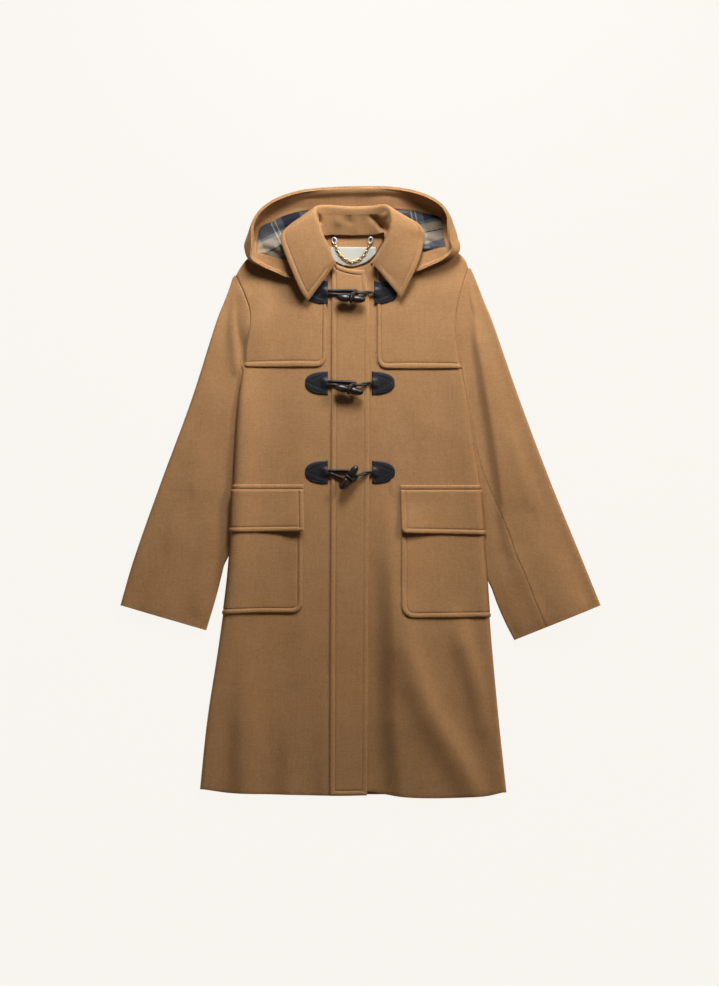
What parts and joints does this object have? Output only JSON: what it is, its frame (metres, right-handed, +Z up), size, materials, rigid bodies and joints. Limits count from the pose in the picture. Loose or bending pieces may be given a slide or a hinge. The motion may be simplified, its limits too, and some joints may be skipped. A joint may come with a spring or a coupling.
{
  "type": "duffle coat",
  "caption": "Knee-length camel wool duffle coat laid flat, with open hood, pointed collar, toggle fastening, storm flaps and flapped patch pockets.",
  "frame": {"origin": "middle of the coat's outline on the plane it rests on", "axes": "+Z up out of the coat's front, +Y from the hem towards the hood, +X towards the wearer's left; the back lies on z = 0"},
  "size_m": [0.8402, 1.0697, 0.0442],
  "materials": {
    "camel_wool": "soft napped melton",
    "check_lining": "plain-woven check cotton",
    "woven_label": "woven satin, bare",
    "dark_leather": "semi-gloss grained",
    "leather_cord": "semi-gloss",
    "horn": "polished horn",
    "brass": "polished pale",
    "steel": "polished"
  },
  "bodies": {
    "root": {"back": "camel_wool", "front_right": "camel_wool", "front_left": "camel_wool", "placket": "camel_wool", "storm_flap_right": "camel_wool", "storm_flap_left": "camel_wool", "pocket_right": "camel_wool", "pocket_left": "camel_wool", "pocket_flap_right": "camel_wool", "pocket_flap_left": "camel_wool", "pocket_band_right": "camel_wool", "pocket_band_left": "camel_wool", "sleeve_right_top": "camel_wool", "sleeve_right_under": "camel_wool", "sleeve_left_top": "camel_wool", "sleeve_left_under": "camel_wool", "hood": "camel_wool", "hood_facing": "camel_wool", "collar": "camel_wool", "neck_facing": "camel_wool", "hood_lining": "check_lining", "label": "woven_label", "chain_ring_right": "steel", "chain_ring_left": "steel", "neck_chain": "brass", "patch_right_1": "dark_leather", "patch_right_2": "dark_leather", "patch_right_3": "dark_leather", "patch_left_1": "dark_leather", "patch_left_2": "dark_leather", "patch_left_3": "dark_leather", "loop_1": "leather_cord", "loop_2": "leather_cord", "loop_3": "leather_cord", "toggle_cord_1": "leather_cord", "toggle_cord_2": "leather_cord", "toggle_cord_3": "leather_cord", "toggle_1": "horn", "toggle_2": "horn", "toggle_3": "horn"}
  },
  "joints": []
}
